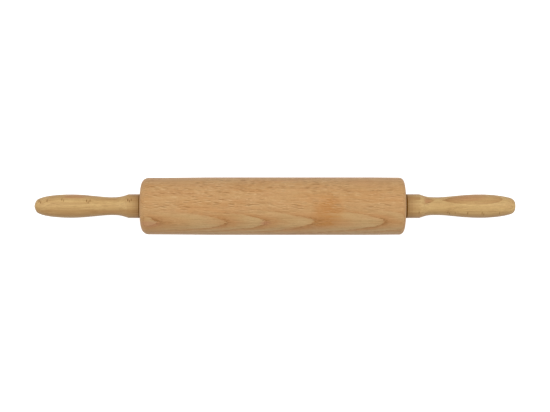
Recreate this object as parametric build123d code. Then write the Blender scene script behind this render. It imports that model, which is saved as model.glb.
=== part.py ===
from build123d import *
import math
import os

# Wooden rolling pin: a beech roller on two ball bearings turns on one steel axle, and the axle is
# glued into a turned handle at each end.
# Lengths are in millimetres. X runs along the pin, Z is up, and the origin is the middle of the
# whole pin on its axis. The roller is drawn at the left end of its end float.

# Roller
roller_length = 250.0
roller_diameter = 55.0
roller_bore_air = 2.0
left_corner_length = 7.0
left_corner_depth = 7.0
right_corner_length = 4.9
right_corner_depth = 5.2

# Play between the roller and the spacers
end_float = 0.8
face_clearance = 0.15
boss_clearance = 0.05

# Handles: both are turned to the same diameters, and the left one is a little shorter
collar_diameter = 22.8
waist_diameter = 17.25
swell_diameter = 22.5
collar_chamfer = 0.4
tip_flat_radius = 0.8
left_handle_length = 100.5
left_collar_length = 11.15
left_waist_from_collar = 16.5
left_swell_from_tip = 33.1
left_nose_length = 8.0
left_nose_radius = 8.2
right_handle_length = 103.5
right_collar_length = 12.35
right_waist_from_collar = 14.5
right_swell_from_tip = 33.8
right_nose_length = 3.8
right_nose_radius = 7.4

# Shape shares of the handle outline: how much of the nose's length its arc spans, and how far the
# outline drops for each unit of length where it leaves the collar
left_nose_share = 0.7
right_nose_share = 0.8
left_shoulder_share = 0.31
right_shoulder_share = 0.37

# Spacer rings between handle and roller
spacer_thickness = 1.7
spacer_chamfer = 0.3
spacer_bore_clearance = 0.1
boss_margin = 0.15

# Axle
axle_diameter = 8.0
axle_grip = 54.0
axle_chamfer = 0.8
glue_gap = 0.04
blind_end_air = 1.5

# Ball bearings
bearing_outer_diameter = 22.0
bearing_width = 7.0
bearing_chamfer = 0.3
bearing_slip_clearance = 0.03
ball_diameter = 3.969
ball_count = 7
ball_clearance = 0.03
groove_share = 0.52
land_share = 0.73
shield_thickness = 0.25
shield_inset = 0.1
shield_seat_depth = 0.55
shield_gap = 0.2

# Ball cages, open on one side so that the balls snap in
cage_pocket_clearance = 0.06
cage_back_wall = 0.3
cage_land_gap = 0.35
cage_front_share = 0.5

# Bearing cups pressed into the roller's ends
press_gap = 0.02
cup_wall = 1.2
cup_lip_width = 1.5
cup_lip_thickness = 1.2
cup_flange_width = 2.5
cup_flange_thickness = 1.0
bearing_recess = 1.0

# How far every cut runs past the surface that it opens
cut_overrun = 2.0

roller_radius = roller_diameter / 2
axle_radius = axle_diameter / 2
collar_radius = collar_diameter / 2
waist_radius = waist_diameter / 2
swell_radius = swell_diameter / 2

# Places along X, worked out from the whole pin's length
collar_gap = roller_length + end_float + 2 * (face_clearance + spacer_thickness)
whole_length = left_handle_length + collar_gap + right_handle_length
left_collar_face = left_handle_length - whole_length / 2
right_collar_face = left_collar_face + collar_gap
left_roller_face = left_collar_face + spacer_thickness + face_clearance
right_roller_face = left_roller_face + roller_length

# Radii inside a bearing
ball_radius = ball_diameter / 2
bearing_radius = bearing_outer_diameter / 2
bearing_bore_radius = axle_radius + bearing_slip_clearance
pitch_radius = (axle_radius + bearing_radius) / 2
groove_radius = groove_share * ball_diameter
inner_land_radius = pitch_radius - land_share * ball_radius
outer_land_radius = pitch_radius + land_share * ball_radius
shield_seat_radius = outer_land_radius + shield_seat_depth

# Radii and depths of the cup and of the seat that it is pressed into
cup_seat_radius = bearing_radius + press_gap
cup_radius = cup_seat_radius + cup_wall
cup_flange_radius = cup_radius + cup_flange_width
cup_depth = bearing_recess + bearing_width + cup_lip_thickness
roller_bore_radius = axle_radius + roller_bore_air


def turned(*corners):
    """A solid of revolution about X, from corners given as (place along X, radius)."""
    return revolve(make_face(Polyline(*corners, close=True)), Axis.X)


def ring(start, end, inner_radius, outer_radius):
    """A plain ring between two places along X."""
    return turned(
        (start, inner_radius),
        (end, inner_radius),
        (end, outer_radius),
        (start, outer_radius),
    )


def plug(start, end, radius):
    """A plain cylinder between two places along X."""
    return ring(start, end, 0, radius)


def race_groove(centre_radius):
    """The torus that cuts a ball groove at the middle of a bearing."""
    return Rot(Y=90) * Torus(centre_radius, groove_radius)


def at_left(piece, place):
    """Turn a piece that is drawn for the right end round to the left end."""
    return Pos(X=place) * Rot(Z=180) * piece


def at_right(piece, place):
    return Pos(X=place) * piece


def roller():
    left_corner_centre = (left_roller_face + left_corner_length, roller_radius - left_corner_depth)
    right_corner_centre = (right_roller_face - right_corner_length, roller_radius - right_corner_depth)
    left_corner = EllipticalCenterArc(
        left_corner_centre, left_corner_length, left_corner_depth, 90, arc_size=90)
    right_corner = EllipticalCenterArc(
        right_corner_centre, right_corner_length, right_corner_depth, 0, arc_size=90)
    outline = [
        Line((left_roller_face, 0), (right_roller_face, 0)),
        Line((right_roller_face, 0), right_corner @ 0),
        right_corner,
        Line(right_corner @ 1, left_corner @ 0),
        left_corner,
        Line(left_corner @ 1, (left_roller_face, 0)),
    ]
    body = revolve(make_face(outline), Axis.X)
    bore = plug(left_roller_face - cut_overrun, right_roller_face + cut_overrun, roller_bore_radius)
    return body - bore - at_left(cup_seat(), left_roller_face) - at_right(cup_seat(), right_roller_face)


def cup_seat():
    """The stepped hole for a bearing cup, with the roller's face at X = 0."""
    flange_hole = plug(-cup_flange_thickness, cut_overrun, cup_flange_radius + press_gap)
    wall_hole = plug(-cup_depth, 0, cup_radius + press_gap)
    return flange_hole + wall_hole


def bearing_cup():
    """The flanged cup, with the roller's face at X = 0."""
    flange = ring(-cup_flange_thickness, 0, cup_seat_radius, cup_flange_radius)
    wall = ring(-cup_depth, 0, cup_seat_radius, cup_radius)
    lip = ring(-cup_depth, cup_lip_thickness - cup_depth, bearing_radius - cup_lip_width, cup_radius)
    return flange + wall + lip


def outer_ring():
    """The bearing's outer ring about X = 0, with a seat for a shield on each side."""
    face = bearing_width / 2
    shield_floor = face - shield_inset - shield_thickness
    blank = turned(
        (-shield_floor, outer_land_radius),
        (shield_floor, outer_land_radius),
        (shield_floor, shield_seat_radius),
        (face, shield_seat_radius),
        (face, bearing_radius - bearing_chamfer),
        (face - bearing_chamfer, bearing_radius),
        (bearing_chamfer - face, bearing_radius),
        (-face, bearing_radius - bearing_chamfer),
        (-face, shield_seat_radius),
        (-shield_floor, shield_seat_radius),
    )
    return blank - race_groove(pitch_radius + ball_radius + ball_clearance - groove_radius)


def inner_ring():
    face = bearing_width / 2
    blank = turned(
        (bearing_chamfer - face, bearing_bore_radius),
        (face - bearing_chamfer, bearing_bore_radius),
        (face, bearing_bore_radius + bearing_chamfer),
        (face, inner_land_radius),
        (-face, inner_land_radius),
        (-face, bearing_bore_radius + bearing_chamfer),
    )
    return blank - race_groove(pitch_radius - ball_radius - ball_clearance + groove_radius)


def ball_places():
    """The centre of each ball, evenly spaced on the pitch circle."""
    step = 2 * math.pi / ball_count
    return [
        (0, pitch_radius * math.cos(k * step), pitch_radius * math.sin(k * step))
        for k in range(ball_count)
    ]


def sphere_at(place, radius):
    """A sphere whose poles lie along X, clear of the cage's walls."""
    return Pos(place) * Rot(Y=90) * Sphere(radius)


def balls():
    return Part() + [sphere_at(place, ball_radius) for place in ball_places()]


def cage():
    pocket_radius = ball_radius + cage_pocket_clearance
    body = ring(
        -pocket_radius - cage_back_wall,
        cage_front_share * ball_radius,
        inner_land_radius + cage_land_gap,
        outer_land_radius - cage_land_gap,
    )
    return body - [sphere_at(place, pocket_radius) for place in ball_places()]


def shield():
    """The bearing's shield on its +X side."""
    outer_side = bearing_width / 2 - shield_inset
    return ring(
        outer_side - shield_thickness,
        outer_side,
        inner_land_radius + shield_gap,
        shield_seat_radius - press_gap,
    )


def spacer():
    """The ring against a handle, with the handle's face at X = 0 and the roller towards -X."""
    boss_radius = inner_land_radius - boss_margin
    boss_length = face_clearance + bearing_recess - boss_clearance
    bore = axle_radius + spacer_bore_clearance
    return turned(
        (-spacer_thickness - boss_length, bore),
        (0, bore),
        (0, collar_radius - spacer_chamfer),
        (-spacer_chamfer, collar_radius),
        (spacer_chamfer - spacer_thickness, collar_radius),
        (-spacer_thickness, collar_radius - spacer_chamfer),
        (-spacer_thickness, boss_radius),
        (-spacer_thickness - boss_length, boss_radius),
    )


def handle(length, collar_length, waist_from_collar, swell_from_tip, nose, nose_share, shoulder_share):
    """A turned handle with its inner face and blind bore at X = 0 and its tip towards +X."""
    nose_length, nose_radius = nose
    bore_radius = axle_radius + glue_gap
    bore_depth = axle_grip + blind_end_air
    collar_corner = (collar_length, collar_radius)
    waist = (collar_length + waist_from_collar, waist_radius)
    swell = (length - swell_from_tip, swell_radius)
    nose_centre = (length - nose_length, tip_flat_radius)
    nose_sweep = math.degrees(math.acos(1 - nose_share))
    nose_arc = EllipticalCenterArc(
        nose_centre, nose_length, nose_radius - tip_flat_radius, 0, arc_size=nose_sweep)
    outline = [
        Line(nose_arc @ 0, (length, 0)),
        Line((length, 0), (bore_depth, 0)),
        Line((bore_depth, 0), (bore_depth, bore_radius)),
        Line((bore_depth, bore_radius), (0, bore_radius)),
        Line((0, bore_radius), (0, collar_radius - collar_chamfer)),
        Line((0, collar_radius - collar_chamfer), (collar_chamfer, collar_radius)),
        Line((collar_chamfer, collar_radius), collar_corner),
        Spline(collar_corner, waist, tangents=[(1, -shoulder_share), (1, 0)]),
        Spline(waist, swell, tangents=[(1, 0), (1, 0)]),
        Spline(swell, nose_arc @ 1, tangents=[(1, 0), -(nose_arc % 1)]),
        nose_arc,
    ]
    return revolve(make_face(outline), Axis.X)


def left_handle():
    nose = (left_nose_length, left_nose_radius)
    piece = handle(left_handle_length, left_collar_length, left_waist_from_collar,
                   left_swell_from_tip, nose, left_nose_share, left_shoulder_share)
    return at_left(piece, left_collar_face)


def right_handle():
    nose = (right_nose_length, right_nose_radius)
    piece = handle(right_handle_length, right_collar_length, right_waist_from_collar,
                   right_swell_from_tip, nose, right_nose_share, right_shoulder_share)
    return at_right(piece, right_collar_face)


def axle():
    start = left_collar_face - axle_grip
    end = right_collar_face + axle_grip
    return turned(
        (start, 0),
        (start, axle_radius - axle_chamfer),
        (start + axle_chamfer, axle_radius),
        (end - axle_chamfer, axle_radius),
        (end, axle_radius - axle_chamfer),
        (end, 0),
    )


def end_pieces():
    """Each roller end's pieces, drawn for the right end, with how far each lies inside the face."""
    bearing_depth = bearing_recess + bearing_width / 2
    return {
        "bearing_cup": (bearing_cup(), 0),
        "outer_ring": (outer_ring(), bearing_depth),
        "inner_ring": (inner_ring(), bearing_depth),
        "balls": (balls(), bearing_depth),
        "cage": (cage(), bearing_depth),
        "outer_shield": (shield(), bearing_depth),
        "inner_shield": (Rot(Z=180) * shield(), bearing_depth),
    }


def build_nodes():
    nodes = {
        "roller": roller(),
        "axle": axle(),
        "left_handle": left_handle(),
        "right_handle": right_handle(),
        "left_spacer": at_left(spacer(), left_collar_face),
        "right_spacer": at_right(spacer(), right_collar_face),
    }
    for name, (piece, depth) in end_pieces().items():
        nodes[f"left_{name}"] = at_left(piece, left_roller_face + depth)
        nodes[f"right_{name}"] = at_right(piece, right_roller_face - depth)
    return nodes


os.makedirs("parts", exist_ok=True)
for node_name, node_shape in build_nodes().items():
    export_step(node_shape, f"parts/{node_name}.step")
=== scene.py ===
import math

import bmesh
import bpy
from bpy.props import FloatProperty, FloatVectorProperty, IntProperty, PointerProperty
from mathutils import Matrix, Vector
from mathutils.geometry import interpolate_bezier


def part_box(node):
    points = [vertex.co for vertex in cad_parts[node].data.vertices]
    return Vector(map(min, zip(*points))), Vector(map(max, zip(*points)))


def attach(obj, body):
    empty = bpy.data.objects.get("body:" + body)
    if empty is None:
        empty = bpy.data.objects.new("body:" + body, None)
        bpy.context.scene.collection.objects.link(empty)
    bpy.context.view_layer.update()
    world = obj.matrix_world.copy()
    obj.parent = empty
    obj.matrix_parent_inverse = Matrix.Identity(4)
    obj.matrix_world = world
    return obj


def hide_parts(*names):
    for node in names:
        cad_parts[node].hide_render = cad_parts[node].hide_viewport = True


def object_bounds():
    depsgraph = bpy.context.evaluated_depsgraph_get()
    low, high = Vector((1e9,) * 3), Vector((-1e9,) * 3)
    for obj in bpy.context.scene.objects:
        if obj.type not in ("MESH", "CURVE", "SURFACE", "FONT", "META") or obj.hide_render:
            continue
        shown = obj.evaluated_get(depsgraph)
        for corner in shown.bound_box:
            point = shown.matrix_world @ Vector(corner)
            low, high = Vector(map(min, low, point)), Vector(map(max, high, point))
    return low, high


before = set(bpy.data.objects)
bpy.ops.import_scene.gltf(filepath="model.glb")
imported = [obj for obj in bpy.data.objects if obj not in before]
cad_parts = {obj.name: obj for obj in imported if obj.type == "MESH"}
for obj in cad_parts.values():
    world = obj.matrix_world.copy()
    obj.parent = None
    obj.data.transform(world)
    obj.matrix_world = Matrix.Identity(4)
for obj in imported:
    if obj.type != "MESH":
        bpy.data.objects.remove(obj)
cad_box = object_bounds()

bl_info = {
    "name": "Rolling Pin",
    "version": (1, 0, 0),
    "blender": (4, 5, 0),
    "location": "View3D > Sidebar > Rolling Pin",
    "description": "Dresses a turned beech rolling pin that runs on ball bearings",
    "category": "Object",
}

# Patterns and the places of marks are in millimetres, and everything else is in metres
MM = 0.001
# The way along X from each handle to the middle of the pin
INWARD = {"left": 1, "right": -1}

# Vertices nearer than this are joined
WELD = 0.001 * MM
# An edge that turns more than the first is bevelled, and more than the second is shaded as sharp
BEVEL_ANGLE = math.radians(50)
SHARP_ANGLE = math.radians(35)
# A quarter turn in degrees
QUARTER_TURN = 90

# Sockets of the Mix node that hold its share, its two colours and its result
MIX_SHARE, MIX_FIRST, MIX_SECOND, MIX_RESULT = 0, 6, 7, 2
# Noise lies about this value
NOISE_MIDDLE = 0.5
# Years of growth that a set of unevenly spaced lines covers
YEARS_COVERED = 30
# How strongly red, green and blue change when wood is lightened or deepened
TINT_STRENGTHS = (0.7, 1.05, 1.35)

# Slanted strokes of a dark speck: their spacing along the pin, how far they are staggered, and
# the height of the place that they are centred on
STROKE_SPACING = 1.6
STROKE_STAGGER = 0.6
STROKE_HEIGHT = 9
# Length of a collar's painted shade, which darkens it towards the roller, and of its plainer
# lathe-lined wood, for each unit of the collar's length
COLLAR_FADE = 1.3


def length(name, default, description):
    """A size in metres that a user can change."""
    return FloatProperty(
        name=name, description=description, default=default, unit="LENGTH", precision=5)


def ratio(name, default, description):
    """A plain share or slope that a user can change."""
    return FloatProperty(name=name, description=description, default=default, subtype="FACTOR")


def count(name, default, description, least=2):
    """A whole number of points or facets that a user can change."""
    return IntProperty(name=name, description=description, default=default, min=least)


def linear(shade):
    """A display value from 0 to 255 as the linear light value that a shader reads."""
    share = shade / 255
    return share / 12.92 if share < 0.04045 else ((share + 0.055) / 1.055) ** 2.4


def colour(name, shades, description):
    """A colour that a user can change, given by its display values."""
    default = tuple(linear(shade) for shade in shades)
    return FloatVectorProperty(
        name=name, description=description, default=default, size=3, subtype="COLOR", min=0, max=1)


# Sizes and colours that a user would change

class RollerSizes(bpy.types.PropertyGroup):
    """Sizes of the turned roller"""
    diameter: length("Diameter", 0.0549, "Roller's diameter at its fullest")
    left_taper: length("Left taper", 0.0004, "How much slimmer the radius is at the left end")
    left_taper_reach: length("Left taper reach", 0.078, "Length over which the left end thins")
    right_taper: length("Right taper", 0.00017, "How much slimmer the radius is at the right end")
    right_taper_reach: length("Right taper reach", 0.03, "Length over which the right end thins")
    left_corner_length: length(
        "Left corner length", 0.0070, "Rounding of the left rim along the pin")
    left_corner_depth: length(
        "Left corner depth", 0.0070, "Rounding of the left rim across the pin")
    right_corner_length: length(
        "Right corner length", 0.0049, "Rounding of the right rim along the pin")
    right_corner_depth: length(
        "Right corner depth", 0.0052, "Rounding of the right rim across the pin")
    bore_diameter: length("Bore diameter", 0.012, "Hole for the axle between the bearings")
    seat_diameter: length("Cup seat diameter", 0.02448, "Hole for the wall of a bearing cup")
    flange_thickness: length("Flange thickness", 0.001, "Depth of the step for a cup's flange")
    fit: length("Fit", 0.00002, "Gap all round a pressed cup")
    steps: count("Steps", 256, "Facets round the roller", least=24)
    rim_points: count("Rim points", 18, "Facets across each rounded rim")
    left_taper_points: count("Left taper points", 24, "Points along the left end's taper")
    right_taper_points: count("Right taper points", 16, "Points along the right end's taper")


class LeftHandleSizes(bpy.types.PropertyGroup):
    """Sizes of the left handle's outline"""
    length: length("Length", 0.1003, "From the inner face to the tip")
    collar_length: length("Collar length", 0.01051, "Straight collar next to the roller")
    shoulder_slope: ratio(
        "Shoulder slope", 0.35, "Drop for each unit of length where the collar ends")
    shoulder_reach: length("Shoulder reach", 0.00346, "How far the shoulder holds its slope")
    waist_place: length("Waist place", 0.02532, "From the inner face to the narrowest place")
    waist_radius: length("Waist radius", 0.008545, "Radius at the narrowest place")
    waist_reach_in: length(
        "Waist reach inwards", 0.0072, "How far the waist stays slim towards the collar")
    waist_reach_out: length(
        "Waist reach outwards", 0.01137, "How far the waist stays slim towards the tip")
    swell_place: length("Swell place", 0.0653, "From the inner face to the grip's fullest place")
    swell_radius: length("Swell radius", 0.011232, "Radius at the fullest place of the grip")
    swell_reach_in: length(
        "Swell reach inwards", 0.01549, "How far the swell stays full towards the waist")
    swell_reach_out: length(
        "Swell reach outwards", 0.01208, "How far the swell stays full towards the tip")
    nose_place: length("Nose place", 0.0975, "From the inner face to where the tip rounds over")
    nose_radius: length("Nose radius", 0.00633, "Radius where the tip rounds over")
    nose_slope: ratio(
        "Nose slope", 0.682, "Drop for each unit of length where the tip rounds over")
    nose_reach_in: length(
        "Nose reach inwards", 0.00542, "How far that slope holds towards the swell")
    nose_reach_out: length(
        "Nose reach outwards", 0.00069, "How far that slope holds towards the tip")
    tip_reach: length("Tip reach", 0.00216, "How wide the tip stays blunt")


class RightHandleSizes(bpy.types.PropertyGroup):
    """Sizes of the right handle's outline, which is longer and has a blunter tip"""
    length: length("Length", 0.1035, "From the inner face to the tip")
    collar_length: length("Collar length", 0.01193, "Straight collar next to the roller")
    shoulder_slope: ratio(
        "Shoulder slope", 0.322, "Drop for each unit of length where the collar ends")
    shoulder_reach: length("Shoulder reach", 0.00472, "How far the shoulder holds its slope")
    waist_place: length("Waist place", 0.02785, "From the inner face to the narrowest place")
    waist_radius: length("Waist radius", 0.008528, "Radius at the narrowest place")
    waist_reach_in: length(
        "Waist reach inwards", 0.00972, "How far the waist stays slim towards the collar")
    waist_reach_out: length(
        "Waist reach outwards", 0.01178, "How far the waist stays slim towards the tip")
    swell_place: length("Swell place", 0.06976, "From the inner face to the grip's fullest place")
    swell_radius: length("Swell radius", 0.011248, "Radius at the fullest place of the grip")
    swell_reach_in: length(
        "Swell reach inwards", 0.01749, "How far the swell stays full towards the waist")
    swell_reach_out: length(
        "Swell reach outwards", 0.01304, "How far the swell stays full towards the tip")
    nose_place: length("Nose place", 0.09829, "From the inner face to where the tip rounds over")
    nose_radius: length("Nose radius", 0.00807, "Radius where the tip rounds over")
    nose_slope: ratio(
        "Nose slope", 0.303, "Drop for each unit of length where the tip rounds over")
    nose_reach_in: length(
        "Nose reach inwards", 0.00504, "How far that slope holds towards the swell")
    nose_reach_out: length(
        "Nose reach outwards", 0.00364, "How far that slope holds towards the tip")
    tip_reach: length("Tip reach", 0.0052, "How wide the tip stays blunt")


class HandleSizes(bpy.types.PropertyGroup):
    """Sizes that both handles share"""
    collar_edge: length("Collar edge", 0.0004, "Rounding of the collar's inner edge")
    bore_diameter: length("Bore diameter", 0.00808, "Blind hole for the axle")
    bore_depth: length("Bore depth", 0.0555, "Depth of the blind hole")
    steps: count("Steps", 192, "Facets round a handle", least=24)
    edge_points: count("Edge points", 6, "Facets across the collar's inner edge")
    grip_points: count("Grip points", 24, "Points along the run from waist to swell")
    curve_points: count("Curve points", 20, "Points along each other run")


class CollarSizes(bpy.types.PropertyGroup):
    """The size that the handles and the spacer rings share"""
    diameter: length("Diameter", 0.0228, "Diameter of both collars and of the rings beside them")


class SpacerSizes(bpy.types.PropertyGroup):
    """Sizes of the ring between each handle and the roller"""
    thickness: length("Thickness", 0.0017, "Thickness of the ring between handle and roller")
    edge: length("Edge", 0.00015, "Rounding of the ring's edges")
    bore_diameter: length("Bore diameter", 0.0082, "Hole for the axle")
    boss_diameter: length("Boss diameter", 0.0118, "Boss that meets the bearing's inner ring")
    steps: count("Steps", 128, "Facets round a ring", least=24)
    edge_facets: count("Edge facets", 2, "Facets across each rounded edge", least=1)


class WoodColours(bpy.types.PropertyGroup):
    """Colours of the roller's and the handles' beech"""
    roller_pale: colour("Roller pale", (212, 174, 120), "Early wood of the roller")
    roller_warm: colour("Roller warm", (203, 146, 90), "Late wood of the roller")
    roller_line: colour("Roller line", (160, 106, 58), "Thin dark line of each year's growth")
    roller_rosy: colour("Roller rosy", (210, 156, 104), "Broad rosy clouds in the roller's wood")
    roller_patch: colour("Roller patch", (198, 136, 72), "Warm patch of heartwood")
    roller_pink: colour("Roller pink", (207, 146, 108), "Pinkish streaks near the flame tips")
    handle_pale: colour("Handle pale", (217, 181, 120), "Early wood of the handles")
    # Painted highlight: the lighter stripe along a handle's top, on the side that the lamps light
    handle_highlight: colour("Handle light", (225, 186, 122), "Lightest stripe along a handle's top")
    handle_warm: colour("Handle warm", (190, 144, 88), "Late wood of the handles")
    handle_line: colour("Handle line", (162, 112, 64), "Thin dark line of each year's growth")
    handle_pink: colour("Handle pink", (192, 136, 90), "Pinkish streaks of the handles")
    fleck: colour("Fleck", (138, 84, 14), "Short dark ray flecks")
    # Painted highlight: pale glints and the pale marks set just beside the dark flecks
    glint: colour("Glint", (238, 204, 152), "Short pale flecks beside the dark ones")


class FittingColours(bpy.types.PropertyGroup):
    """Colours of the spacer rings, the axle and the bearings"""
    spacer_dark: colour("Spacer dark", (114, 72, 14), "Darker mottle of the spacer rings")
    spacer_light: colour("Spacer light", (142, 94, 26), "Lighter mottle of the spacer rings")
    axle: colour("Axle", (168, 168, 170), "Drawn steel of the axle")
    ring: colour("Ring", (176, 176, 180), "Ground steel of the bearing rings")
    ball: colour("Ball", (205, 205, 208), "Polished steel of the balls")
    shield: colour("Shield", (150, 150, 152), "Pressed steel of the bearing shields")
    cup_dark: colour("Cup dark", (66, 42, 22), "Darker clouds of the bearing cups")
    cup_light: colour("Cup light", (82, 54, 30), "Lighter clouds of the bearing cups")
    cage_dark: colour("Cage dark", (176, 165, 140), "Darker clouds of the ball cages")
    cage_light: colour("Cage light", (192, 182, 158), "Lighter clouds of the ball cages")


class StageSettings(bpy.types.PropertyGroup):
    """Camera, floor and lights"""
    camera_height: length("Camera height", 1.15, "From the pin's axis up to the camera")
    camera_east: length("Camera offset X", 0.00025, "Camera's place along the pin")
    camera_north: length("Camera offset Y", 0.0001, "Camera's place across the pin")
    nearest_view: length("Nearest view", 0.01, "Nearest distance that the camera shows")
    focal_length: FloatProperty(
        name="Focal length", description="Lens in millimetres", default=78.95)
    sensor_width: FloatProperty(
        name="Sensor width", description="Sensor in millimetres", default=36.0)
    floor_size: length("Floor size", 12.0, "Width of the floor")
    floor_glow: ratio("Floor glow", 0.8, "Light that the white floor gives by itself")
    surround: FloatProperty(name="Surround", description="Light from all round", default=0.41)
    lamp_power: FloatProperty(
        name="Lamp power", description="Power of each soft lamp in watts", default=10.1)
    lamp_distance: length("Lamp distance", 1.7, "From the pin to each soft lamp")
    lamp_width: length("Lamp width", 1.6, "Width of each soft lamp")
    lamp_depth: length("Lamp depth", 1.2, "Depth of each soft lamp")
    lamp_spread: ratio(
        "Lamp spread", 0.8, "How far to each side the lamps stand for each unit of height")
    lamp_lean: ratio(
        "Lamp lean", 0.25, "How far to the back the lamps stand for each unit of height")


# Meshes

def lathe(corners, steps):
    """Spin an outline of (place along X, radius) once about X, and give back the closed mesh."""
    turned = bmesh.new()
    points = [turned.verts.new((place, 0, radius)) for place, radius in corners]
    runs = list(zip(points, points[1:]))
    starts_on_axis = corners[0][1] == 0
    if not starts_on_axis:
        runs.append((points[-1], points[0]))
    lines = [turned.edges.new(run) for run in runs]
    bmesh.ops.spin(
        turned, geom=points + lines, cent=(0, 0, 0), axis=(1, 0, 0), dvec=(0, 0, 0),
        angle=math.tau, steps=steps, use_merge=True, use_duplicate=False)
    bmesh.ops.remove_doubles(turned, verts=turned.verts, dist=WELD)
    bmesh.ops.recalc_face_normals(turned, faces=turned.faces)
    return turned


def soften(turned, width, facets):
    """Round every edge that turns sharply."""
    sharp = [edge for edge in turned.edges if edge.calc_face_angle(0) > BEVEL_ANGLE]
    bmesh.ops.bevel(
        turned, geom=sharp, offset=width, offset_type="OFFSET", segments=facets, profile=0.5,
        affect="EDGES", clamp_overlap=True, material=-1)


def piece(name, turned, body, material, node):
    """Make an object of a turned mesh, let it ride on a body and stand for a node."""
    mesh = bpy.data.meshes.new(name)
    turned.to_mesh(mesh)
    turned.free()
    mesh.shade_smooth()
    mesh.set_sharp_from_angle(angle=SHARP_ANGLE)
    mesh.materials.append(material)
    made = bpy.data.objects.new(name, mesh)
    bpy.context.scene.collection.objects.link(made)
    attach(made, body)
    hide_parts(node)
    return made


def curve(start, start_reach, end_reach, end, points):
    """Points of a smooth run between two places, without its first point."""
    first, last = Vector(start), Vector(end)
    run = interpolate_bezier(
        first, first + Vector(start_reach), last - Vector(end_reach), last, points)
    return [(point.x, point.y) for point in run[1:]]


def quarter(centre, along, across, first, points):
    """Points of a quarter of an ellipse, from the angle first in degrees and a quarter turn on."""
    angles = [math.radians(first + QUARTER_TURN * k / points) for k in range(points + 1)]
    return [
        (centre[0] + along * math.cos(angle), centre[1] + across * math.sin(angle))
        for angle in angles]


# Materials

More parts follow.
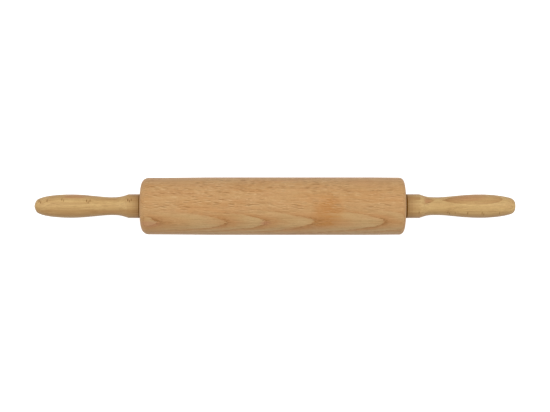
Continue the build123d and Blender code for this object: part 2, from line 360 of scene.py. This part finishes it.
class Finish:
    """One material, with short ways to add its nodes and join them."""

    def __init__(self, name):
        self.material = bpy.data.materials.new(name)
        self.material.use_nodes = True
        self.tree = self.material.node_tree
        self.shader = self.tree.nodes["Principled BSDF"]
        self.place = self.add("ShaderNodeTexCoord", {}).outputs["Object"]

    def add(self, kind, values, **settings):
        """Add a node with these settings, and feed its sockets by their names or numbers."""
        node = self.tree.nodes.new(kind)
        for name, value in settings.items():
            setattr(node, name, value)
        for name, value in values.items():
            self.feed(node.inputs[name], value)
        return node

    def feed(self, socket, value):
        """Link a socket to another one, or set its own value."""
        if isinstance(value, bpy.types.NodeSocket):
            self.tree.links.new(value, socket)
        else:
            socket.default_value = value

    def sum(self, operation, *values):
        """One sum on numbers or sockets."""
        return self.add("ShaderNodeMath", dict(enumerate(values)), operation=operation).outputs[0]

    def times(self, first, second):
        """The product of two numbers or sockets."""
        return self.sum("MULTIPLY", first, second)

    def larger(self, first, second):
        """The larger of two numbers or sockets."""
        return self.sum("MAXIMUM", first, second)

    def grains(self, size, turn=(0, 0, 0), centre=(0, 0, 0)):
        """Object coordinates counted in grains of this size, turned in degrees about a centre."""
        values = {
            "Vector": self.place,
            "Location": [MM * place for place in centre],
            "Rotation": [math.radians(angle) for angle in turn],
            "Scale": [MM * side for side in size],
        }
        return self.add("ShaderNodeMapping", values, vector_type="TEXTURE").outputs[0]

    def noise(self, size, detail=2.0, rough=0.5, turn=(0, 0, 0), centre=(0, 0, 0)):
        """Soft cloudy values about a half, with features of the given size."""
        values = {
            "Vector": self.grains(size, turn, centre),
            "Scale": 1.0,
            "Detail": detail,
            "Roughness": rough,
        }
        return self.add("ShaderNodeTexNoise", values).outputs[0]

    def ease(self, value, low, high, start=0.0, end=1.0):
        """A smooth step from start at low to end at high."""
        values = {
            "Value": value,
            "From Min": low,
            "From Max": high,
            "To Min": start,
            "To Max": end,
        }
        return self.add("ShaderNodeMapRange", values, interpolation_type="SMOOTHSTEP").outputs[0]

    def clouds(self, low, high, start=0.0, end=1.0, **pattern):
        """Noise with a smooth step from start where it is low to end where it is high."""
        return self.ease(self.noise(**pattern), low, high, start, end)

    def swayed(self, value, noise, amount):
        """A value pushed up and down by noise."""
        return self.sum("MULTIPLY_ADD", self.sum("SUBTRACT", noise, NOISE_MIDDLE), amount, value)

    def blend(self, share, first, second, kind="MIX"):
        """The first colour with a share of the second one."""
        shades = [
            shade if isinstance(shade, bpy.types.NodeSocket) else (*shade, 1.0)
            for shade in (first, second)]
        values = {MIX_SHARE: share, MIX_FIRST: shades[0], MIX_SECOND: shades[1]}
        mix = self.add("ShaderNodeMix", values, data_type="RGBA", blend_type=kind)
        return mix.outputs[MIX_RESULT]

    def tint(self, shade, change):
        """Lighten a colour by a share, or deepen it where the share is negative, blue the most."""
        parts = [self.sum("MULTIPLY_ADD", change, part, 1.0) for part in TINT_STRENGTHS]
        light = self.add("ShaderNodeCombineColor", dict(enumerate(parts))).outputs[0]
        return self.blend(1.0, shade, light, "MULTIPLY")

    def along(self, direction):
        """How far each point lies along a direction, in millimetres for one of length one."""
        values = {0: self.place, 1: [part / MM for part in direction]}
        return self.add("ShaderNodeVectorMath", values, operation="DOT_PRODUCT").outputs["Value"]

    def faces(self, direction):
        """How squarely each point faces a direction across the pin, from minus one to one."""
        values = {0: self.place, 1: (0, 1, 1)}
        across = self.add("ShaderNodeVectorMath", values, operation="MULTIPLY").outputs[0]
        unit = self.add("ShaderNodeVectorMath", {0: across}, operation="NORMALIZE").outputs[0]
        values = {0: unit, 1: direction}
        return self.add("ShaderNodeVectorMath", values, operation="DOT_PRODUCT").outputs["Value"]

    def spot(self, centre, reach, core=0.35):
        """A value that is one near a place and falls to nothing at its reach."""
        values = {0: self.grains(reach, centre=centre)}
        away = self.add("ShaderNodeVectorMath", values, operation="LENGTH").outputs["Value"]
        return self.ease(away, low=core, high=1.0, start=1.0, end=0.0)

    def spots(self, places, reach, core):
        """The nearest of several spots of one size."""
        nearest = self.spot(places[0], reach, core)
        for place in places[1:]:
            nearest = self.larger(nearest, self.spot(place, reach, core))
        return nearest

    def flecks(self, size, share, turn=(0, 0, 0), centre=(0, 0, 0), rim=0.42):
        """Scattered spindle-shaped marks of uneven depth, in the given share of the cells."""
        values = {"Vector": self.grains(size, turn, centre), "Scale": 1.0}
        cells = self.add("ShaderNodeTexVoronoi", values, feature="F1")
        mark = self.ease(cells.outputs["Distance"], low=rim / 2, high=rim, start=1.0, end=0.0)
        draw = self.add("ShaderNodeSeparateColor", {0: cells.outputs["Color"]})
        softness = 0.1
        chosen = self.ease(draw.outputs[0], low=share, high=share - softness)
        depth = self.ease(draw.outputs[1], low=0.0, high=1.0, start=0.4)
        return self.times(self.times(mark, chosen), depth)

    def coat(self, shade, roughness, height, depth):
        """Join up the finished colour, roughness and bump."""
        self.feed(self.shader.inputs["Base Color"], shade)
        self.feed(self.shader.inputs["Roughness"], roughness)
        bump = self.add("ShaderNodeBump", {"Height": height, "Strength": 1.0, "Distance": depth})
        self.feed(self.shader.inputs["Normal"], bump.outputs[0])

    def polish(self, specular, sheen, sheen_roughness=0.4):
        """Set how strongly the surface shines, the same all over."""
        self.shader.inputs["Specular IOR Level"].default_value = specular
        self.shader.inputs["Sheen Weight"].default_value = sheen
        self.shader.inputs["Sheen Roughness"].default_value = sheen_roughness


def growth(finish, lean, wobble, lines, spacing):
    """How far each point is from the last growth line, from 0 just past a line up to 1 at the next.

    lean is the direction that the year rings are counted in. lines are the places of the first
    ones, unevenly spaced where there are several, and the rest follow evenly."""
    depth = finish.along(lean)
    slow = finish.noise(size=(70, 16, 16))
    quick = finish.noise(size=(6, 1.1, 1.1), detail=4.0, rough=0.65)
    quick_wobble = 0.8 * wobble
    depth = finish.swayed(depth, slow, wobble)
    depth = finish.swayed(depth, quick, quick_wobble)
    if len(lines) == 1:
        years_on = finish.sum("MULTIPLY_ADD", depth, 1 / spacing, -lines[0] / spacing)
        return finish.sum("FRACT", years_on)
    low = lines[0] - spacing
    span = YEARS_COVERED * spacing
    years = len(lines) + (low + span - lines[-1]) / spacing
    share = finish.sum("MULTIPLY_ADD", depth, 1 / span, -low / span)
    uneven = finish.add("ShaderNodeFloatCurve", {"Value": share})
    points = uneven.mapping.curves[0].points
    for year, line in enumerate(lines):
        points.new((line - low) / span, (year + 1) / years)
    for point in points:
        point.handle_type = "VECTOR"
    uneven.mapping.update()
    return finish.sum("FRACT", finish.times(uneven.outputs[0], years))


def grain(finish, pale, warm, line, year, clear):
    """Colour of plain turned beech. clear is how plainly its year rings show at each point."""
    late = finish.ease(year, low=0.0, high=0.8, start=0.4, end=-0.4)
    half_and_half = 0.5
    warmth = finish.sum("MULTIPLY_ADD", late, clear, half_and_half)
    shade = finish.blend(warmth, pale, warm)
    broken = finish.clouds(
        size=(6, 1.3, 1.3), detail=3.0, rough=0.6, low=0.38, high=0.6, start=0.1)
    edge = finish.times(finish.ease(year, low=0.0, high=0.15, start=0.6, end=0.0), clear)
    return finish.blend(finish.times(edge, broken), shade, line)


def smooth_wood(finish, shade, marks, streaky, roughness, relief):
    """Lighten and darken wood along its fibres and pores, sink its marks, and coat it.

    streaky is how strongly the broad fibres show, roughness its least and most, and relief the
    depth of the bump in millimetres."""
    fine = finish.noise(size=(26, 0.8, 0.8), detail=3.0, rough=0.65)
    thin_fibres = finish.ease(fine, low=0.25, high=0.75, start=-0.07, end=0.06)
    broad_fibres = finish.clouds(
        size=(60, 2.0, 2.0), detail=3.0, low=0.25, high=0.75, start=-streaky, end=streaky)
    pores = finish.clouds(
        size=(1.8, 0.4, 0.4), detail=1.0, low=0.3, high=0.6, start=-0.06, end=0.06)
    change = finish.sum("ADD", finish.sum("ADD", thin_fibres, broad_fibres), pores)
    mark_depth = 0.8
    height = finish.sum("SUBTRACT", fine, finish.times(marks, mark_depth))
    least, most = roughness
    dullness = finish.ease(fine, low=0.2, high=0.8, start=least, end=most)
    finish.coat(finish.tint(shade, change), dullness, height, relief * MM)


def roller_beech(colours):
    """Beech with flame-shaped growth lines low on its front, and ray flecks all over with painted
    highlights beside them.
    """
    finish = Finish("roller_beech")
    apex = finish.faces((0, -0.556, 0.831))
    low_front = finish.ease(finish.faces((0, -0.72, 0.694)), low=0.74, high=0.95, start=0.14)
    off_left_end = finish.ease(finish.along((1, 0, 0)), low=-124, high=-113, start=0.1)
    year = growth(
        finish, lean=(0.055, 0.556, -0.831), wobble=1.3,
        lines=(-33.2, -30.0, -28.06, -25.45, -21.8), spacing=2.7)
    shade = grain(
        finish, colours.roller_pale, colours.roller_warm, colours.roller_line,
        year, clear=finish.times(low_front, off_left_end))

    rosy = finish.clouds(size=(45, 8, 8), centre=(4, 0, 2), low=0.42, high=0.66, end=0.4)
    shade = finish.blend(rosy, shade, colours.roller_rosy)
    warm = finish.clouds(size=(40, 9, 9), centre=(2, 7, 3), low=0.44, high=0.66, end=0.28)
    stains = finish.larger(
        finish.spot(centre=(50, -4, 26), reach=(22, 26, 18), core=0.15),
        finish.spot(centre=(46, -16, 22), reach=(16, 6, 8)))
    mottle = finish.clouds(size=(12, 3, 3), low=0.3, high=0.6, start=0.4, end=0.95)
    patch = finish.times(stains, mottle)
    shade = finish.blend(finish.larger(warm, patch), shade, colours.roller_patch)
    wedges = finish.larger(
        finish.spot(centre=(-118, -17, 21), reach=(14, 4, 8)),
        finish.spot(centre=(-8.5, -16, 22), reach=(7, 3, 6)))
    pink = finish.times(wedges, finish.noise(size=(10, 2, 2)))
    shade = finish.blend(pink, shade, colours.roller_pink)

    past_line = finish.ease(year, low=0.0, high=0.3, start=1.0, end=0.0)
    at_tips = finish.times(finish.ease(apex, low=0.95, high=0.99), past_line)
    strokes = finish.clouds(size=(4, 0.9, 0.9), detail=3.0, rough=0.7, low=0.45, high=0.58)
    tip_strength = 0.5
    tips = finish.times(finish.times(at_tips, strokes), tip_strength)
    shade = finish.blend(tips, shade, colours.fleck)

    slope = (0, 2, -3)
    ripple = dict(size=(40, 0.45, 0.45), detail=2.0, rough=0.6, turn=slope, low=0.43, high=0.36)
    dark_ripple = finish.clouds(**ripple, end=0.25)
    ripple_highlight = finish.clouds(**ripple, centre=(0, -0.7, -0.3), end=0.3)
    long_flecks = finish.flecks(size=(17, 0.8, 0.8), share=0.3, turn=slope, centre=(1, 0, 0))
    glints = finish.flecks(size=(3.5, 0.9, 0.9), share=0.3, turn=slope, centre=(1, 4, 2))
    # Each dark dash has a painted highlight close beside it
    dash = dict(size=(10, 0.8, 1.1), share=0.75, turn=(0, 2, -4), rim=0.46)
    dark_dashes = finish.flecks(**dash, centre=(3, 1, 2))
    dash_highlights = finish.flecks(**dash, centre=(3, 0.05, 1.9))
    off_flames = finish.ease(apex, low=0.8, high=0.97, start=1.0, end=0.4)
    scattered = finish.clouds(size=(50, 14, 14), centre=(9, 3, 1), low=0.36, high=0.5, start=0.3)
    busy = finish.times(off_flames, scattered)
    dark_marks = finish.larger(finish.larger(long_flecks, dark_ripple), dark_dashes)
    painted_highlights = finish.larger(finish.larger(glints, ripple_highlight), dash_highlights)
    dark_marks = finish.times(dark_marks, busy)
    painted_highlights = finish.times(painted_highlights, busy)
    highlight_strength = 0.55
    dark_strength = 0.67
    # Painted highlights: pale glints, and pale copies of the dark ripples and dashes set just
    # beside them
    shade = finish.blend(finish.times(painted_highlights, highlight_strength), shade, colours.glint)
    shade = finish.blend(finish.times(dark_marks, dark_strength), shade, colours.fleck)

    smooth_wood(finish, shade, dark_marks, streaky=0.07, roughness=(0.55, 0.68), relief=0.02)
    finish.polish(specular=0.3, sheen=0.25)
    return finish.material


# Wood of each handle, with the places and reaches of its pink streaks, the way that its painted
# highlight stripe faces, how far to the front its painted shade reaches, and the place along and
# across the pin of each dark speck with its number of strokes
HANDLE_WOODS = {
    "left": dict(
        lean=(0.02, 0.72, 0.69), line=10.7, spacing=2.68, plainness=0.6,
        streaks=[((-157, -5.6, 6.5), (14, 1.6, 5)), ((-190, 9, 6), (15, 3, 6))],
        highlight_side=(0, 0.2, 0.98), shade_start=3.9, shade_full=4.5,
        specks=[
            (-222.5, 4.2, 2), (-215.5, 4.6, 1), (-200.5, 5.8, 2),
            (-176.4, 4.4, 3), (-137.3, 5.2, 3)],
        speck_strength=1.0),
    "right": dict(
        lean=(-0.02, 0.65, 0.76), line=5.6, spacing=3.1, plainness=1.0,
        streaks=[((144.5, 5, 7), (5, 2.6, 5)), ((184, 8, 7), (24, 5, 6))],
        highlight_side=(0, -0.17, 0.985), shade_start=6.2, shade_full=10.2,
        specks=[
            (136.5, -6.6, 1), (164.9, -6.6, 2), (171, -7.5, 1),
            (182.6, -7.3, 1), (197, -7.3, 2), (213, -7.4, 1)],
        speck_strength=0.7),
}


def speck_strokes(specks):
    """Places of the strokes that make up each speck, side by side and staggered in turn."""
    places = []
    for x, y, strokes in specks:
        for k in range(strokes):
            off_middle = k - (strokes - 1) / 2
            places.append((
                x + STROKE_SPACING * off_middle, y + STROKE_STAGGER * (-1) ** k, STROKE_HEIGHT))
    return places


def handle_beech(
        name, colours, collar, lean, line, spacing, plainness, streaks, highlight_side,
        shade_start, shade_full, specks, speck_strength):
    """Beech with finer straighter grain and short slanted dark strokes, with a painted highlight
    stripe along its top, painted shade towards its front, and painted shade on the collar.

    collar is where the collar's painted shade and its plainer, lathe-lined wood start and end along
    X, in metres. lean, line and spacing lay the year rings, and plainness is how plainly they show.
    highlight_side is the way that the painted highlight stripe faces, and shade_start and
    shade_full are how far to the front the painted shade begins and is at its deepest."""
    finish = Finish(name)
    face, end = (place / MM for place in collar)
    on_collar = finish.ease(finish.along((1, 0, 0)), low=end, high=face)
    year = growth(finish, lean, wobble=0.7, lines=(line,), spacing=spacing)
    upper = finish.ease(finish.along(lean), low=line - 2.0, high=line + 0.3, start=0.3)
    collar_loss = 0.7 * plainness
    less_on_collar = finish.sum("MULTIPLY_ADD", on_collar, -collar_loss, plainness)
    shade = grain(
        finish, colours.handle_pale, colours.handle_warm, colours.handle_line,
        year, clear=finish.times(upper, less_on_collar))

    for place, reach in streaks:
        broken = finish.clouds(size=(12, 1.0, 1.0), low=0.35, high=0.6, start=0.35)
        streak = finish.times(finish.spot(place, reach), broken)
        shade = finish.blend(streak, shade, colours.handle_pink)
    lined = finish.clouds(size=(60, 1.3, 1.3), detail=3.0, low=0.32, high=0.62, start=0.25)
    # Painted highlight: a lighter stripe along the side of the handle that faces the lamps
    light = finish.ease(finish.faces(highlight_side), low=0.85, high=0.99, end=0.7)
    shade = finish.blend(finish.times(light, lined), shade, colours.handle_highlight)
    hairs = finish.clouds(size=(50, 0.7, 0.7), detail=1.0, low=0.42, high=0.34, end=0.3)
    shade = finish.blend(hairs, shade, colours.handle_line)
    # Painted shade: the colour darkens towards the front of the handle, the side away from the
    # lamps
    front = finish.sum("ADD", finish.noise(size=(30, 3, 3)), finish.along((0, -1, 0)))
    dark = finish.ease(front, low=shade_start, high=shade_full, end=0.9)
    shade = finish.blend(finish.times(dark, lined), shade, colours.handle_warm)
    # Painted shade: the collar darkens and warms towards the roller, which shades it
    collar_shade_strength = 0.45
    shade = finish.blend(finish.times(on_collar, collar_shade_strength), shade, colours.handle_warm)

    small_flecks = finish.flecks(size=(9, 1.1, 1.1), share=0.3, turn=(0, 0, -2))
    small_strength = 0.4
    small_marks = finish.times(small_flecks, small_strength)
    uneven = finish.clouds(size=(1.3, 6, 6), low=0.35, high=0.6, start=0.5)
    strokes = finish.spots(speck_strokes(specks), reach=(0.75, 2.0, 9), core=0.3)
    strokes = finish.times(finish.times(strokes, uneven), speck_strength)
    marks = finish.larger(small_marks, strokes)
    shade = finish.blend(marks, shade, colours.fleck)

    lathe_lines = finish.clouds(size=(0.9, 400, 400), low=0.3, high=0.7, start=-0.07, end=0.07)
    dark_lines = finish.clouds(size=(40, 0.8, 0.8), low=0.35, high=0.5, start=-0.12, end=0.0)
    collar_lines = finish.times(finish.sum("ADD", lathe_lines, dark_lines), on_collar)
    shade = finish.tint(shade, collar_lines)

    smooth_wood(finish, shade, marks, streaky=0.11, roughness=(0.45, 0.58), relief=0.015)
    finish.polish(specular=0.35, sheen=0.3)
    return finish.material


def fibre(dark, light):
    """Dark pressed fibre, as a washer is made of."""
    finish = Finish("spacer_fibre")
    mottle = finish.noise(size=(1.4, 1.4, 1.4), detail=4.0, rough=0.6)
    shade = finish.blend(finish.ease(mottle, low=0.3, high=0.7), dark, light)
    dullness = finish.ease(mottle, low=0.3, high=0.7, start=0.55, end=0.7)
    finish.coat(shade, dullness, mottle, 0.03 * MM)
    finish.polish(specular=0.1, sheen=0.0)
    return finish.material


def steel(name, shade, roughness, lines):
    """Ground or drawn steel with fine lines round the axis. lines is the size of their pattern."""
    finish = Finish(name)
    rings = finish.noise(size=lines, rough=0.6)
    darkest = 0.85
    dark = [darkest * part for part in shade]
    tint = finish.blend(finish.ease(rings, low=0.3, high=0.7), dark, shade)
    rougher = 0.12
    dullness = finish.ease(rings, low=0.3, high=0.7, start=roughness, end=roughness + rougher)
    finish.feed(finish.shader.inputs["Metallic"], 1.0)
    finish.coat(tint, dullness, rings, 0.002 * MM)
    return finish.material


def nylon(name, dark, light):
    """Moulded nylon, faintly clouded, with a fine tooth."""
    finish = Finish(name)
    cloud = finish.noise(size=(3, 3, 3), detail=3.0)
    shade = finish.blend(finish.ease(cloud, low=0.3, high=0.7), dark, light)
    dullness = finish.ease(cloud, low=0.3, high=0.7, start=0.38, end=0.5)
    tooth = finish.noise(size=(0.3, 0.3, 0.3))
    finish.coat(shade, dullness, tooth, 0.01 * MM)
    finish.polish(specular=0.25, sheen=0.0)
    return finish.material


def dress(material, *nodes):
    """Give carried-over nodes a finished material."""
    for name in nodes:
        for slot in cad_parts[name].material_slots:
            slot.material = material


# Operators, one for each piece or group of like pieces, and one for the stage

class PIN_OT_turn_roller(bpy.types.Operator):
    """Turn the beech roller with its rounded rims and the stepped holes for its bearing cups"""
    bl_idname = "rolling_pin.turn_roller"
    bl_label = "Turn Roller"

    def execute(self, context):
        sizes = context.scene.pin_roller
        low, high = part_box("roller")
        cup_low, cup_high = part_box("left_bearing_cup")
        radius = sizes.diameter / 2
        flange_hole = cup_high.z + sizes.fit
        seat = sizes.seat_diameter / 2
        bore = sizes.bore_diameter / 2
        cup_depth = cup_high.x - cup_low.x
        step = sizes.flange_thickness
        left_top = (low.x + sizes.left_corner_length, radius - sizes.left_taper)
        right_top = (high.x - sizes.right_corner_length, radius - sizes.right_taper)
        left_full = (left_top[0] + sizes.left_taper_reach, radius)
        right_full = (right_top[0] - sizes.right_taper_reach, radius)
        right_rim = quarter(
            centre=(right_top[0], right_top[1] - sizes.right_corner_depth),
            along=sizes.right_corner_length, across=sizes.right_corner_depth,
            first=0, points=sizes.rim_points)
        left_rim = quarter(
            centre=(left_top[0], left_top[1] - sizes.left_corner_depth),
            along=sizes.left_corner_length, across=sizes.left_corner_depth,
            first=QUARTER_TURN, points=sizes.rim_points)
        level_right = (-sizes.right_taper_reach / 2, 0)
        level_left = (-sizes.left_taper_reach / 2, 0)
        outline = [
            (low.x, flange_hole),
            (low.x + step, flange_hole),
            (low.x + step, seat),
            (low.x + cup_depth, seat),
            (low.x + cup_depth, bore),
            (high.x - cup_depth, bore),
            (high.x - cup_depth, seat),
            (high.x - step, seat),
            (high.x - step, flange_hole),
            (high.x, flange_hole),
            *right_rim,
            *curve(right_top, level_right, level_right, right_full, sizes.right_taper_points),
            left_full,
            *curve(left_full, level_left, level_left, left_top, sizes.left_taper_points),
            *left_rim[1:],
        ]
        turned = lathe(outline, sizes.steps)
        beech = roller_beech(context.scene.pin_wood)
        piece("turned_roller", turned, "roller", beech, "roller")
        return {"FINISHED"}


class PIN_OT_turn_handles(bpy.types.Operator):
    """Turn both beech handles with their collars, waists, swells and rounded tips"""
    bl_idname = "rolling_pin.turn_handles"
    bl_label = "Turn Handles"

    def outline(self, sizes, common, collar):
        """Outline from blind hole to tip, as (distance from the inner face, radius)."""
        bore = common.bore_diameter / 2
        edge = common.collar_edge
        points = common.curve_points
        shoulder = (sizes.collar_length, collar)
        waist = (sizes.waist_place, sizes.waist_radius)
        swell = (sizes.swell_place, sizes.swell_radius)
        nose = (sizes.nose_place, sizes.nose_radius)
        tip = (sizes.length, 0)
        fall = (sizes.shoulder_reach, -sizes.shoulder_reach * sizes.shoulder_slope)
        waist_in, waist_out = (sizes.waist_reach_in, 0), (sizes.waist_reach_out, 0)
        swell_in, swell_out = (sizes.swell_reach_in, 0), (sizes.swell_reach_out, 0)
        nose_in = (sizes.nose_reach_in, -sizes.nose_reach_in * sizes.nose_slope)
        nose_out = (sizes.nose_reach_out, -sizes.nose_reach_out * sizes.nose_slope)
        inner_edge = quarter(
            centre=(edge, collar - edge), along=-edge, across=edge,
            first=0, points=common.edge_points)
        return [
            (common.bore_depth, 0),
            (common.bore_depth, bore),
            (0, bore),
            (0, collar - edge),
            *inner_edge[1:],
            shoulder,
            *curve(shoulder, fall, waist_in, waist, points),
            *curve(waist, waist_out, swell_in, swell, common.grip_points),
            *curve(swell, swell_out, nose_in, nose, points),
            *curve(nose, nose_out, (0, -sizes.tip_reach), tip, points)[:-1],
            tip,
        ]

    def execute(self, context):
        scene = context.scene
        common = scene.pin_handles
        collar = scene.pin_collar.diameter / 2
        for side, inward in INWARD.items():
            sizes = getattr(scene, f"pin_{side}_handle")
            low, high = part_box(f"{side}_handle")
            face = high.x if side == "left" else low.x
            outline = [
                (face - inward * place, radius)
                for place, radius in self.outline(sizes, common, collar)]
            turned = lathe(outline, common.steps)
            dark_stretch = (face, face - COLLAR_FADE * inward * sizes.collar_length)
            beech = handle_beech(
                f"{side}_handle_beech", scene.pin_wood, collar=dark_stretch, **HANDLE_WOODS[side])
            name, node = f"turned_{side}_handle", f"{side}_handle"
            piece(name, turned, "axle_and_handles", beech, node)
        return {"FINISHED"}


class PIN_OT_turn_spacers(bpy.types.Operator):
    """Turn the dark ring between each handle and the roller, with its rounded rim and its boss"""
    bl_idname = "rolling_pin.turn_spacers"
    bl_label = "Turn Spacer Rings"

    def execute(self, context):
        sizes = context.scene.pin_spacers
        collar = context.scene.pin_collar.diameter / 2
        colours = context.scene.pin_fittings
        pressed = fibre(colours.spacer_dark, colours.spacer_light)
        bore = sizes.bore_diameter / 2
        boss = sizes.boss_diameter / 2
        for side, inward in INWARD.items():
            low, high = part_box(f"{side}_spacer")
            face, end = (low.x, high.x) if side == "left" else (high.x, low.x)
            shelf = face + inward * sizes.thickness
            outline = [
                (face, bore),
                (face, collar),
                (shelf, collar),
                (shelf, boss),
                (end, boss),
                (end, bore),
            ]
            turned = lathe(outline, sizes.steps)
            soften(turned, sizes.edge, sizes.edge_facets)
            name, node = f"{side}_spacer_ring", f"{side}_spacer"
            piece(name, turned, "axle_and_handles", pressed, node)
        return {"FINISHED"}


class PIN_OT_finish_axle(bpy.types.Operator):
    """Give the axle its drawn steel"""
    bl_idname = "rolling_pin.finish_axle"
    bl_label = "Finish Axle"

    def execute(self, context):
        shade = context.scene.pin_fittings.axle
        dress(steel("axle_steel", shade, roughness=0.25, lines=(8, 0.2, 0.2)), "axle")
        return {"FINISHED"}


class PIN_OT_finish_bearings(bpy.types.Operator):
    """Give the bearing cups, rings, balls, cages and shields their nylon and steel"""
    bl_idname = "rolling_pin.finish_bearings"
    bl_label = "Finish Bearings"

    def execute(self, context):
        colours = context.scene.pin_fittings
        cup = nylon("cup_nylon", colours.cup_dark, colours.cup_light)
        cage = nylon("cage_nylon", colours.cage_dark, colours.cage_light)
        ring = steel("ring_steel", colours.ring, roughness=0.22, lines=(0.12, 5, 5))
        ball = steel("ball_steel", colours.ball, roughness=0.06, lines=(2, 2, 2))
        shield = steel("shield_steel", colours.shield, roughness=0.32, lines=(1, 0.5, 0.5))
        for side in INWARD:
            dress(cup, f"{side}_bearing_cup")
            dress(cage, f"{side}_cage")
            dress(ring, f"{side}_outer_ring", f"{side}_inner_ring")
            dress(ball, f"{side}_balls")
            dress(shield, f"{side}_outer_shield", f"{side}_inner_shield")
        return {"FINISHED"}


class PIN_OT_set_stage(bpy.types.Operator):
    """Lay the white floor and set the soft lights and the camera above the pin"""
    bl_idname = "rolling_pin.set_stage"
    bl_label = "Set Stage"

    def lay_floor(self, scene, stage):
        """A white sheet under the pin that takes its shadow and glows a little by itself."""
        sheet = bmesh.new()
        bmesh.ops.create_grid(sheet, x_segments=1, y_segments=1, size=stage.floor_size / 2)
        bmesh.ops.translate(sheet, vec=(0, 0, cad_box[0][2]), verts=sheet.verts)
        mesh = bpy.data.meshes.new("white_floor")
        sheet.to_mesh(mesh)
        sheet.free()
        floor = bpy.data.objects.new("white_floor", mesh)
        scene.collection.objects.link(floor)
        paper = Finish("white_paper")
        tooth = paper.noise(size=(2, 2, 2))
        grey, pale_grey = (0.80, 0.80, 0.80), (0.82, 0.82, 0.82)
        shade = paper.blend(tooth, grey, pale_grey)
        paper.coat(shade, roughness=0.9, height=tooth, depth=0.01 * MM)
        paper.feed(paper.shader.inputs["Emission Color"], (1, 1, 1, 1))
        paper.feed(paper.shader.inputs["Emission Strength"], stage.floor_glow)
        mesh.materials.append(paper.material)
        floor.visible_diffuse = False
        floor.visible_glossy = False

    def light_room(self, scene, stage):
        """Light the pin softly from all round, and show plain white where the room is seen."""
        world = bpy.data.worlds.new("white_surround")
        world.use_nodes = True
        nodes = world.node_tree.nodes
        back = nodes["Background"]
        back.inputs["Color"].default_value = (1, 1, 1, 1)
        seen = nodes.new("ShaderNodeLightPath")
        strength = nodes.new("ShaderNodeMapRange")
        strength.inputs["To Min"].default_value = 1.0
        strength.inputs["To Max"].default_value = stage.surround
        join = world.node_tree.links.new
        join(seen.outputs["Is Diffuse Ray"], strength.inputs["Value"])
        join(strength.outputs["Result"], back.inputs["Strength"])
        scene.world = world

    def hang_lamps(self, scene, stage):
        """Hang a wide soft lamp high on each side, facing the pin."""
        for side, inward in INWARD.items():
            lamp = bpy.data.lights.new(f"{side}_soft_lamp", "AREA")
            lamp.shape = "RECTANGLE"
            lamp.size = stage.lamp_width
            lamp.size_y = stage.lamp_depth
            lamp.energy = stage.lamp_power
            light = bpy.data.objects.new(f"{side}_soft_lamp", lamp)
            direction = Vector((-inward * stage.lamp_spread, stage.lamp_lean, 1)).normalized()
            place = direction * stage.lamp_distance
            facing = Vector((0, 0, 1)).rotation_difference(place).to_matrix().to_4x4()
            light.matrix_world = Matrix.Translation(place) @ facing
            scene.collection.objects.link(light)

    def set_camera(self, scene, stage):
        """Look straight down on the pin from above."""
        lens = bpy.data.cameras.new("camera")
        lens.lens = stage.focal_length
        lens.sensor_width = stage.sensor_width
        lens.sensor_fit = "HORIZONTAL"
        lens.clip_start = stage.nearest_view
        camera = bpy.data.objects.new("camera", lens)
        camera.location = (stage.camera_east, stage.camera_north, stage.camera_height)
        scene.collection.objects.link(camera)
        scene.camera = camera

    def execute(self, context):
        scene = context.scene
        stage = scene.pin_stage
        self.lay_floor(scene, stage)
        self.light_room(scene, stage)
        self.hang_lamps(scene, stage)
        self.set_camera(scene, stage)
        scene.view_settings.view_transform = "Standard"
        return {"FINISHED"}


class PIN_PT_panel(bpy.types.Panel):
    """Lists the steps that build the rolling pin"""
    bl_label = "Rolling Pin"
    bl_idname = "PIN_PT_panel"
    bl_space_type = "VIEW_3D"
    bl_region_type = "UI"
    bl_category = "Rolling Pin"

    def draw(self, context):
        for operator in OPERATORS:
            self.layout.operator(operator.bl_idname)


OPERATORS = (
    PIN_OT_turn_roller,
    PIN_OT_turn_handles,
    PIN_OT_turn_spacers,
    PIN_OT_finish_axle,
    PIN_OT_finish_bearings,
    PIN_OT_set_stage,
)
SETTINGS = {
    "pin_roller": RollerSizes,
    "pin_left_handle": LeftHandleSizes,
    "pin_right_handle": RightHandleSizes,
    "pin_handles": HandleSizes,
    "pin_collar": CollarSizes,
    "pin_spacers": SpacerSizes,
    "pin_wood": WoodColours,
    "pin_fittings": FittingColours,
    "pin_stage": StageSettings,
}


def register():
    """Register the settings, the operators and the panel."""
    for name, group in SETTINGS.items():
        bpy.utils.register_class(group)
        setattr(bpy.types.Scene, name, PointerProperty(type=group))
    for operator in OPERATORS:
        bpy.utils.register_class(operator)
    bpy.utils.register_class(PIN_PT_panel)


def unregister():
    """Take away all that register adds, in the opposite order."""
    bpy.utils.unregister_class(PIN_PT_panel)
    for operator in reversed(OPERATORS):
        bpy.utils.unregister_class(operator)
    for name, group in reversed(SETTINGS.items()):
        delattr(bpy.types.Scene, name)
        bpy.utils.unregister_class(group)


def main():
    """Build the pin and its stage."""
    register()
    bpy.ops.rolling_pin.turn_roller()
    bpy.ops.rolling_pin.turn_handles()
    bpy.ops.rolling_pin.turn_spacers()
    bpy.ops.rolling_pin.finish_axle()
    bpy.ops.rolling_pin.finish_bearings()
    bpy.ops.rolling_pin.set_stage()


if __name__ == "__main__":
    main()
